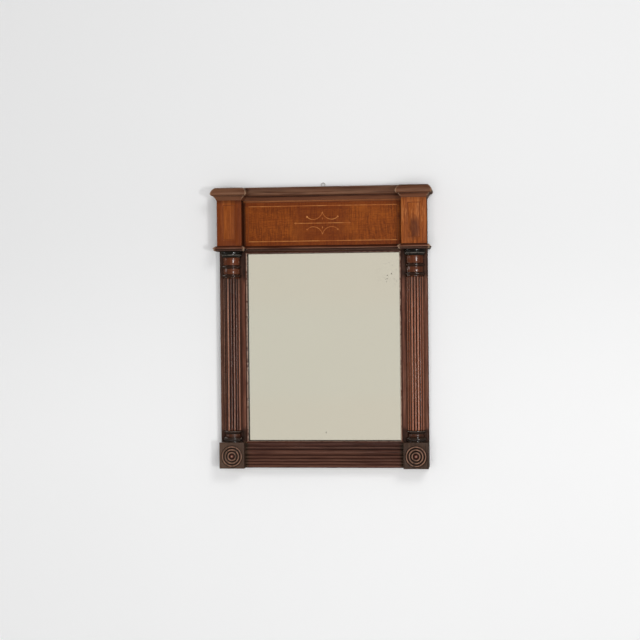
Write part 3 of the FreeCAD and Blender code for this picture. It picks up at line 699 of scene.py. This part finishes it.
string_width = 0.0018
honey = boxwood("honey boxwood", tone(162, 90, 40), tone(202, 132, 70))
for node in ("frieze_stringing", "frieze_inlay"):
    dressed(node, honey)

# A pine block stands on each stile under the cornice, veneered on its front and two sides. The
# veneer of the right block has a dark curl in its lower half.
block_low, block_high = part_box("right_block_veneer")
block_string_low, block_string_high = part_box("right_block_stringing")
block_veneer_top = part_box("left_cap_front")[0].z
curl_middle = (0.2463, 0.0, 0.3105)
flame_z = 0.315


def block_touch(recipe, colour, roughness):
    x = recipe.along(0)
    z = recipe.along(2)
    on_left = x.step(0.001, -0.001)
    break_up = recipe.noise(90.0, 4.0, (1, 1, 0.3), twist=1.0)
    offset = recipe.off(curl_middle, (1.6, 0, 0.72))
    curl = (offset + break_up * 0.026).step(0.040, 0.024) * 0.66
    eye = ((offset + break_up * 0.05) * 420.0).sine() * offset.step(0.080, 0.024) * 0.34
    flame = recipe.noise(150.0, 3.0, (1, 1, 0.16), (5, 0, 2), 0.8).step(0.50, 0.64)
    flame = flame * z.step(flame_z - 0.015, flame_z + 0.015) * (1.0 - on_left) * 0.5
    colour = recipe.mix(flame, colour, tone(196, 122, 66))
    colour = recipe.mix(eye, colour, tone(84, 36, 16))
    colour = recipe.mix(curl, colour, tone(66, 30, 19))
    outside = (x.size() - column_axis).size().step(
        block_string_high.x - column_axis - 0.001, block_string_high.x - column_axis + 0.001)
    foot = z.step(block_string_low.z, block_string_low.z - 0.002)
    colour = recipe.mix(outside.most(foot) * on_left * (0.30 + break_up * 0.6), colour, veneer_red)
    shade = z.step(block_veneer_top - 0.012, block_veneer_top - 0.002) * (0.25 + on_left * 0.25)
    inner_side = x.size().step(block_low.x + 0.003, block_low.x + 0.001)
    shade = shade.most(inner_side * recipe.along(1).step(block_low.y + 0.001, block_low.y + 0.010) * 0.85)
    return recipe.mix(shade, colour, tone(46, 22, 12)), roughness


block_veneer = mahogany("block veneer", "Z", ((92, 41, 12), (138, 70, 25), (184, 104, 48)), 0.38, 0.12,
                        (0, 3, 0), block_touch)
dim_boxwood = boxwood("darkened boxwood", tone(138, 72, 34), tone(166, 94, 50))
stained_pine = aged_pine("stained pine", "Z", ((44, 28, 18), (62, 42, 28), (36, 24, 16)))
for side in sides:
    dressed(side + "_block_stringing", dim_boxwood)
    eased(side + "_frieze_block", stained_pine, "glued", 0.0003)
    eased(side + "_block_veneer", block_veneer, "polished", 0.0004)

# A thin board closes the cornice above. Its top was stained to pass as mahogany, and years of
# dust have greyed it.
top_board_finish = aged_pine("dusty stained board", "X", ((58, 38, 26), (84, 60, 42), (50, 36, 26)),
                             (0, 2, 0))
eased("cornice_top_board", top_board_finish, "planed", 0.0006)

# The cornice is solid mahogany moulding, a bold nose over a hollow, run along the front and
# mitred round the two blocks. Its nose is rubbed pale, most of all at the mitred corners of the
# caps, and the quirk below keeps the dirt. The centre length stands two millimetres proud on top.
body_half_width = block_high.x
block_inner = block_low.x
body_face = frieze_low.y
block_face = block_low.y


def overhang(point):
    """How far a point stands out from the body or the block that carries its moulding."""
    x = abs(point.x)
    from_body = max(x - body_half_width, body_face - point.y)
    from_block = max(block_inner - x, x - body_half_width, block_face - point.y)
    return min(from_body, from_block)


def moulding(name, look, shift, touch, arris, lengths, nose, rubbed, sunk):
    """The lengths of a moulding, each with its grain, cuts and wander, marked as knocked at the
    mitres and as proud beyond the rubbed share of its nose."""
    finishes = {
        grain: mahogany(name + way, grain, *look, (0, 0, place), touch(grain))
        for grain, way, place in (("X", ", grain level", shift), ("Y", ", grain to the wall", shift + 1))}
    pieces = []
    for node, (grain, cuts, wander) in lengths.items():
        piece = eased(node, finishes[grain], "moulded", arris, cuts, "XY".index(grain), wander)
        marked(piece, "knocked", corner_wear)
        marked(piece, "proud", lambda p: (overhang(p) / nose - rubbed) / (1 - rubbed))
        marked(piece, "sunk", sunk)
        pieces.append(piece)
    return pieces


cornice_low, cornice_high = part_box("cornice_centre")
quirk_z = cornice_high.z - 0.0231
centre_end = 0.195
mitre_rub = 0.003
knocked_pale = tone(168, 138, 112)


def cornice_wear(grain):
    rubbed = worn_dirty_and_shaded(tone(146, 106, 80), tone(44, 26, 18), 0.5, 0.28, grain)

    def touch(recipe, colour, roughness):
        colour, roughness = rubbed(recipe, colour, roughness)
        z = recipe.along(2)
        break_up = recipe.noise(90.0, 3.0, with_grain[grain]).step(0.30, 0.70)
        on_left_cap = recipe.along(0).step(0.005 - centre_end, -0.035 - centre_end) * 0.22
        colour = recipe.mix(on_left_cap, colour, tone(150, 108, 80))
        # Painted light: below the quirk, where the nose shades it, the moulding is lightened.
        foot = z.step(quirk_z - 0.001, quirk_z - 0.004) * 0.25
        colour = recipe.mix(foot, colour, tone(150, 96, 68))
        colour = recipe.mix(share(recipe, "knocked").step(0.25, 0.9) * 0.75, colour, knocked_pale)
        on_centre = recipe.along(0).size().step(centre_end + 0.005, centre_end - 0.005)
        # Painted light: the top of the centre length, which faces up, is lightened.
        upper_painted_light = z.step(cornice_high.z - 0.016, cornice_high.z - 0.006) * on_centre * (break_up * 0.3)
        colour = recipe.mix(upper_painted_light, colour, tone(156, 118, 94))
        # Painted shade: the top of the caps is darkened.
        top = z.step(cornice_high.z - 0.006, cornice_high.z) * (1.0 - on_centre) * 0.22
        return recipe.mix(top, colour, tone(40, 24, 16)), roughness
    return touch


def corner_wear(point):
    """1 along the mitres of the caps and nothing a few millimetres away."""
    side = max(block_inner - abs(point.x), abs(point.x) - body_half_width)
    front = block_face - point.y
    return 1 - abs(side - front) / mitre_rub if min(side, front) > mitre_rub else 0.0


brown = ((50, 26, 15), (92, 55, 38), (124, 80, 54))
cornice_lengths = {"cornice_centre": ("X", 48, 0.00025)}
for side in sides:
    cornice_lengths[side + "_cap_front"] = ("X", 16, 0.0007)
    cornice_lengths[side + "_cap_outer"] = ("Y", 12, 0.0005)
    cornice_lengths[side + "_cap_inner"] = ("Y", 10, 0.0005)
cornice_centre = moulding(
    "cornice", (brown, 0.34, 0.22), 2, cornice_wear, 0.0005, cornice_lengths,
    body_face - cornice_low.y, 0.72, lambda p: 1 - abs(p.z - quirk_z) / 0.0020)[0]
centre_rise = 0.0022
rise_depth = 0.012
for vertex in cornice_centre.data.vertices:
    lift = (vertex.co.z - cornice_high.z + rise_depth) / rise_depth
    vertex.co.z += centre_rise * min(max(lift, 0.0), 1.0)

# A thin fillet of paler mahogany is planted on the frieze, close up under the cornice between the
# two caps. Its lower arris is chipped and has kept some dirt.
fillet_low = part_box("cornice_fillet")[0]


def fillet_touch(recipe, colour, roughness):
    z = recipe.along(2)
    foot = z.step(fillet_low.z + 0.0012, fillet_low.z)
    colour = recipe.mix(z.step(fillet_low.z + 0.0032, fillet_low.z + 0.0018) * 0.6, colour, veneer_red)
    return recipe.mix(foot * 0.5, colour, grime), roughness + foot * 0.2


eased("cornice_fillet", mahogany("planted fillet", "X", ((106, 58, 28), (148, 90, 50), (176, 116, 70)), 0.36,
                                 0.15, (0, 0, 8), fillet_touch), "planted", 0.0003, 40, 0, 0.0001)

# The neck moulding under the frieze is redder: a cyma over a square nose and a bead. It runs along
# the top rail and returns round each block, over the capital.
neck_low, neck_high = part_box("neck_moulding_centre")
neck_groove_z = 0.2610
neck_centre_end = 0.200


def neck_touch(grain):
    rubbed = worn_dirty_and_shaded(tone(150, 104, 80), grime, 0.70, 0.70, grain)

    def touch(recipe, colour, roughness):
        colour, roughness = rubbed(recipe, colour, roughness)
        z = recipe.along(2)
        # Painted shade: the groove under the nose is darkened as if the nose shaded it, and the seam at the
        # top, where the moulding meets the frieze, is a dark joint with painted shade.
        groove = (z - neck_groove_z).size().step(0.0022, 0.0010) * 0.75
        seam = z.step(neck_high.z - 0.0020, neck_high.z - 0.0008) * 0.7
        foot = z.step(neck_groove_z - 0.0012, neck_groove_z - 0.0022) * 0.6
        colour = recipe.mix(foot, colour, tone(80, 61, 52))
        colour = recipe.mix(groove.most(seam), colour, tone(34, 18, 12))
        knocked = share(recipe, "knocked").step(0.25, 0.9) * 0.75
        middle = recipe.along(0).size().step(neck_centre_end + 0.005, neck_centre_end - 0.005) * 0.10
        colour = recipe.mix(middle, colour, tone(30, 26, 22))
        return recipe.mix(knocked, colour, knocked_pale), roughness + groove * 0.2
    return touch


neck_lengths = {"neck_moulding_centre": ("X", 40, 0.0001)}
for side in sides:
    neck_lengths[side + "_neck_front"] = ("X", 8, 0.0001)
    neck_lengths[side + "_neck_outer"] = ("Y", 8, 0.0001)
    neck_lengths[side + "_neck_inner"] = ("Y", 6, 0.0001)
# Along the frieze the moulding is marked sunk and darkened: dirt and painted shade.
moulding("neck moulding", (dark_red, 0.3, 0.25), 6, neck_touch, 0.0004, neck_lengths,
         body_face - neck_low.y, 0.7, lambda p: 1 - overhang(p) / 0.004)

# Capitals and bases are split turnings with ebonised rings, the two small ones of the capital half
# worn back to brown. The necks between are red, with a hard polish that takes a sharp light.
quirk_radius = 0.0224
ebony_start = 0.0248
small_rings = (0.1860, 0.2195)
scotia_middle_z = -0.2340
scotia_half_height = 0.0038
cap_arris_z = 0.2466
neck_top_z = 0.2400
base_arris_z = -0.2242
torus_highlight_z = -0.2472


def off_axis(point):
    """Distance from the axis of the nearer half column."""
    return math.hypot(abs(point.x) - column_axis, point.y - body_face)


def ebonised(recipe, colour, roughness):
    ink = share(recipe, "ebonised")
    break_up = recipe.noise(230.0, 4.0)
    # Dirt and painted shade: the turning is darkened where it turns back to the facing.
    by_facing = recipe.along(1).step(body_face - 0.014, body_face - 0.003) * 0.75
    dirt = (share(recipe, "sunk") * (0.7 + break_up * 0.5)).most(by_facing)
    colour = recipe.mix(ink, colour, tone(14, 12, 10))
    colour = recipe.mix(ink * break_up.step(0.56, 0.72) * 0.30, colour, tone(64, 46, 36))
    z = recipe.along(2)
    # Pale grey lines round the arrises of capital and base: wear and painted highlight.
    arris = (z - cap_arris_z).size().least((z - base_arris_z).size()).step(0.0018, 0.0006)
    arris = arris * break_up.step(0.30, 0.55) * 0.6
    colour = recipe.mix(arris, colour, tone(128, 120, 112))
    # Painted highlight: a soft bluish-grey band round the front of the base's torus, whose polish is made
    # rougher.
    torus_highlight = (z - torus_highlight_z).size().step(0.0026, 0.0008) * ink * (0.25 + break_up * 0.5)
    colour = recipe.mix(torus_highlight, colour, tone(112, 120, 121))
    below_rings = z.step(small_rings[1] + 0.002, small_rings[1])
    colour = recipe.mix(below_rings * 0.25, colour, tone(60, 38, 28))
    on_base = z.step(0.01, -0.01)
    colour = recipe.mix(on_base * 0.5, colour, tone(50, 33, 25))
    return recipe.mix(dirt, colour, grime), roughness - ink * 0.04 + torus_highlight * 0.3


def ink_share(point):
    on_rings = min((off_axis(point) - ebony_start) / 0.0006, 1.0)
    if small_rings[0] < point.z < small_rings[1]:
        on_rings *= 0.85
    return max(on_rings, (point.z - neck_top_z) / 0.0004)


turned = mahogany("turned mahogany, part ebonised", "Z", ((51, 20, 8), (93, 44, 21), (124, 67, 37)),
                  0.15, 0.6, (0, 5, 0), ebonised)
for side in sides:
    for part in ("capital", "base"):
        turning = eased(side + "_" + part, turned, "turned", 0.0003)
        marked(turning, "ebonised", ink_share)
        marked(turning, "sunk", lambda p: min(
            1 - (off_axis(p) - quirk_radius) / 0.0008,
            (abs(p.z - scotia_middle_z) - scotia_half_height + 0.001) / 0.001))


# Each shaft is half a cylinder with nine reeds worked along it, rounded off at both ends. The
# reeds were scraped by hand, so they waver a little, and their crests are rubbed pale, most on some
# reeds; the pale crests are also painted highlight, and the right shaft is painted lighter as painted light.
def shaft_touch(recipe, colour, roughness):
    break_up = recipe.noise(240.0, 3.0, (1, 1, 0.04))
    proud = share(recipe, "proud")
    pale = share(recipe, "pale").step(0.25, 0.75)
    on_right = recipe.along(0).step(-0.001, 0.001)
    # The pale crests are wear and painted highlight.
    rub = proud.step(0.74, 0.97) * (0.06 + pale * 0.62) * break_up.step(0.20, 0.50)
    # Dirt and painted shade where the shaft turns back to the facing.
    by_facing = recipe.along(1).step(body_face - 0.010, body_face - 0.002) * 0.3
    dirt = (proud.step(0.84, 0.60) * (0.9 + break_up * 0.3)).most(by_facing)
    # The shaft is darker towards its top, under the capital.
    dull = recipe.along(2).step(shaft_high.z - 0.085, shaft_high.z + 0.005) * 0.45
    mottle = recipe.noise(420.0, 2.0, (1, 1, 0.35)).step(0.36, 0.62)
    colour = recipe.mix((1.0 - pale) * 0.55, colour, tone(44, 22, 14))
    colour = recipe.mix(rub * (0.7 + mottle * 0.5), colour, tone(188, 136, 110))
    # Painted light: the right shaft is made lighter.
    colour = recipe.mix(on_right * 0.35, colour, tone(170, 98, 64))
    colour = recipe.mix(dull, colour, tone(58, 40, 32))
    return recipe.mix(dirt, colour, tone(22, 9, 5)), roughness + dirt * 0.3


shaft_finish = mahogany("reeded mahogany", "Z", ((48, 22, 14), (103, 54, 37), (143, 85, 60)), 0.25, 0.4,
                        (0, 7, 0), shaft_touch)
shaft_sizes = {
    "Axis X": column_axis, "Face Y": body_face, "Foot": shaft_low.z,
    "Height": shaft_high.z - shaft_low.z, "Crest radius": body_face - shaft_low.y,
    "Quirk radius": 0.0212, "End round": 0.003, "Wander": 0.00018, "Reeds": 9, "Seed": 2828,
    "Points a reed": 10, "Rows": 150, "Finish": shaft_finish}
recipe, given = shape_recipe("reeded shaft", shaft_sizes)
reeds = given["Reeds"]
sheet = recipe.node("GeometryNodeMeshGrid", None, {
    "Size X": 1.0, "Size Y": 1.0, "Vertices X": (reeds + 1.0) * given["Points a reed"] + 1.0,
    "Vertices Y": given["Rows"]})
spot = recipe.node("GeometryNodeInputPosition")
round_share, up_share = (recipe.node("ShaderNodeSeparateXYZ", None, {0: spot}, axis) + 0.5 for axis in (0, 1))
turn = round_share * (reeds + 1.0)
flat_back = (turn - reeds).most(0.0)
turn = turn.least(reeds)
step = reeds.maths("DIVIDE", math.pi, reeds)
local = turn.maths("FRACT", turn) - 0.5
half_step_cos = (step * 0.5).cosine()
chord = given["Quirk radius"] * half_step_cos / (local * step).cosine()
bulge = (1.0 - (local * 2.0) ** 2.0).most(0.0) ** 0.55
radius = chord + (given["Crest radius"] - given["Quirk radius"] * half_step_cos) * bulge
proud = bulge * flat_back.step(0.001, 0.0)
rise = 0.5 - (up_share * math.pi).cosine() * 0.5
to_end = rise.least(1.0 - rise) * given["Height"]
inset = ((given["End round"] - to_end) / given["End round"]).most(0.0).least(1.0)
radius = radius - given["End round"] * (1.0 - (1.0 - inset * inset).root())
wave = recipe.node("ShaderNodeTexNoise", {"noise_dimensions": "4D"}, {
    "Vector": vector(recipe, turn * 0.9, rise * 9.0), "W": given["Seed"], "Scale": 1.0, "Detail": 3.0})
radius = radius - wave * given["Wander"]
capped = (up_share.least(1.0 - up_share) * 1e5).least(1.0)
radius = radius * capped
angle = turn * step
reed_number = turn.maths("FLOOR", turn)
pale = recipe.node("ShaderNodeTexWhiteNoise", {"noise_dimensions": "2D"}, {
    "Vector": vector(recipe, reed_number * 1.7, given["Seed"])})
for name, value in (("proud", proud), ("pale", pale)):
    sheet = recipe.node("GeometryNodeStoreNamedAttribute", {"data_type": "FLOAT", "domain": "POINT"}, {
        "Geometry": sheet, "Name": name, "Value": value})
moved = recipe.node("GeometryNodeSetPosition", None, {
    "Geometry": sheet, "Position": vector(
        recipe, given["Axis X"] - radius * angle.cosine() * (1.0 - flat_back * 2.0),
        given["Face Y"] - radius * angle.sine(), given["Foot"] + rise * given["Height"])})
closed = recipe.node("GeometryNodeMergeByDistance", None, {"Geometry": moved, "Distance": 1e-6})
closed_recipe(recipe, closed, given["Finish"])
left_sizes = {**shaft_sizes, "Axis X": -column_axis, "Seed": 5397}
for side, sizes in (("left", left_sizes), ("right", shaft_sizes)):
    registered(side + "_shaft_reeded", grown(recipe, sizes), shaft_finish, side + "_shaft")

# The corner blocks are solid mahogany, faced off on the lathe with a button and three rings. The
# ring crests are rubbed pale, with painted highlight on them, a spot of painted highlight marks the
# middle of the button, and old polish lies dark in the grooves.
turning_drop = 0.0024
ring_middle_z = (corner_low.z + corner_high.z) / 2 - turning_drop
ring_reach = 0.0293
ring_depth = 0.0028


def ring_sunk(point):
    """Depth in the turned face as a share of the groove's, and nothing off it."""
    out = math.hypot(abs(point.x) - column_axis, point.z - ring_middle_z)
    return (point.y - corner_low.y) / ring_depth if out < ring_reach + 0.0005 else 0.0


def corner_touch(recipe, colour, roughness):
    colour = recipe.mix(recipe.along(0).step(0.001, -0.001) * 0.35, colour, tone(106, 82, 68))
    # The pale ring crests are wear and painted highlight.
    colour, roughness = ring_wear_and_highlight(recipe, colour, roughness)
    across = recipe.along(0).size() - column_axis
    upright = recipe.along(2) - ring_middle_z
    out = (across * across + upright * upright).root()
    colour = recipe.mix(out.step(0.0056, 0.0044) * 0.75, colour, tone(96, 47, 35))
    # Painted highlight: a pale spot in the middle of the button.
    return recipe.mix(out.step(0.0030, 0.0018) * 0.6, colour, tone(176, 140, 122)), roughness


ring_wear_and_highlight = worn_dirty_and_shaded(tone(158, 117, 96), grime, 0.95, 1.0)
corner_finish = mahogany("turned corner block", "Z", ((36, 24, 17), (62, 45, 35), (86, 64, 50)), 0.34,
                         0.2, (0, 9, 0), corner_touch)
for side in sides:
    block = eased(side + "_corner_block", corner_finish, "turned", 0.0005)
    marked(block, "proud", lambda p: (0.22 - ring_sunk(p)) / 0.12 if ring_sunk(p) > 0 else 0.0)
    marked(block, "sunk", lambda p: (ring_sunk(p) - 0.26) / 0.36)

# The facing of the bottom rail is one length of mahogany worked with a plane: a hollow band and a
# fillet, one wide reed and four narrow ones. Dirt and old polish fill its quirks. The hollow band is
# darker towards the bottom, and both ends are darkened beside the corner blocks by dirt and painted shade.
rail_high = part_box("reeded_rail")[1]
band_height = 0.0090
band_foot = rail_high.z - band_height
band_darkening = 0.46


def rail_sunk(point):
    depth = rail_high.y - point.y
    # The hollow band is darker towards the bottom.
    if point.z > band_foot:
        return band_darkening * (rail_high.z - point.z) / band_height
    return 1 - (depth - 0.0065) / 0.0025


def rail_proud(point):
    depth = rail_high.y - point.y
    return (depth - 0.0094) / 0.0012 if point.z < band_foot else 0.0


def rail_touch(recipe, colour, roughness):
    colour, roughness = rail_wear(recipe, colour, roughness)
    # Dirt and painted shade: both ends are darkened beside the corner blocks.
    end = recipe.along(0).size().step(rail_high.x - 0.014, rail_high.x - 0.002) * 0.65
    return recipe.mix(end, colour, tone(36, 36, 24)), roughness + end * 0.2


rail_wear = worn_dirty_and_shaded(tone(118, 80, 62), tone(42, 17, 9), 0.32, 0.9, "X")
rail_finish = mahogany("reeded rail", "X", ((37, 17, 12), (77, 46, 37), (106, 69, 56)), 0.30, 0.25,
                       (0, 0, 9), rail_touch)
rail = eased("reeded_rail", rail_finish, "planed", 0.0004, 60, 0, 0.00025)
marked(rail, "sunk", rail_sunk)
marked(rail, "proud", rail_proud)

# A steel strap, let into the back at the top, is rolled round the bar of a wire ring and held by
# two slotted screws. The ring swings, and its top shows above the cornice.
steel, recipe = new_finish("dull steel")
scratch = recipe.noise(1500.0, 3.0, (1, 1, 0.1))
tarnish = recipe.noise(260.0, 4.0)
colour = recipe.mix(tarnish.step(0.42, 0.70), tone(214, 214, 212), tone(176, 168, 158))
recipe.surface(colour, 0.34 + tarnish * 0.2, (0.2, 0.0001, scratch), {"Metallic": 0.55})
eased("hanger_plate", steel, "rolled", 0.0002)
dressed("hanging_ring", steel)

screw_iron = rusty_iron("worn screw iron", tone(92, 84, 76), tone(150, 138, 122))
screw_low, screw_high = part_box("hanger_screws")
head_radius = 0.0028
head_height = 0.0012
screw_sizes = {
    "Face Y": screw_high.y, "Low Z": screw_low.z + head_radius, "High Z": screw_high.z - head_radius,
    "Head radius": head_radius, "Shank radius": 0.0013, "Head height": head_height,
    "Shank length": screw_high.y - screw_low.y - head_height, "Slot width": 0.0006,
    "Slot depth": 0.0005, "Seed": 2, "Finish": screw_iron}
recipe, given = shape_recipe("slotted screws", screw_sizes)
line = recipe.node("GeometryNodeMeshLine", {"mode": "END_POINTS"}, {
    "Count": 2, "Start Location": vector(recipe, 0.0, given["Face Y"], given["Low Z"]),
    "Offset": vector(recipe, 0.0, given["Face Y"], given["High Z"])})
head = cone(recipe, 40, given["Shank radius"], given["Head radius"], given["Head height"])
shank = cone(recipe, 20, given["Shank radius"] * 0.3, given["Shank radius"], given["Shank length"])
shank = placed(recipe, shank, move=vector(recipe, 0.0, 0.0, given["Head height"]))
slot_cut = recipe.node("GeometryNodeMeshCube", None, {
    "Size": vector(recipe, given["Head radius"] * 3.0, given["Slot width"], given["Slot depth"] * 2.0)})
head = recipe.node("GeometryNodeMeshBoolean", {"operation": "DIFFERENCE", "solver": "EXACT"}, {
    "Mesh 1": head, "Mesh 2": slot_cut})
screw = recipe.node("GeometryNodeJoinGeometry", None, {0: [head, shank]})
screw = placed(recipe, screw, to_wall)
spin = recipe.node("FunctionNodeRandomValue", {"data_type": "FLOAT_VECTOR"}, {
    "Min": (0.0, 0.0, 0.0), "Max": (0.0, 3.0, 0.0), "Seed": given["Seed"]})
screws = recipe.node("GeometryNodeInstanceOnPoints", None, {
    "Points": line, "Instance": screw, "Rotation": spin})
closed_recipe(recipe, screws, given["Finish"])
registered("hanger_screws_slotted", grown(recipe, screw_sizes), screw_iron, "hanger_screws")
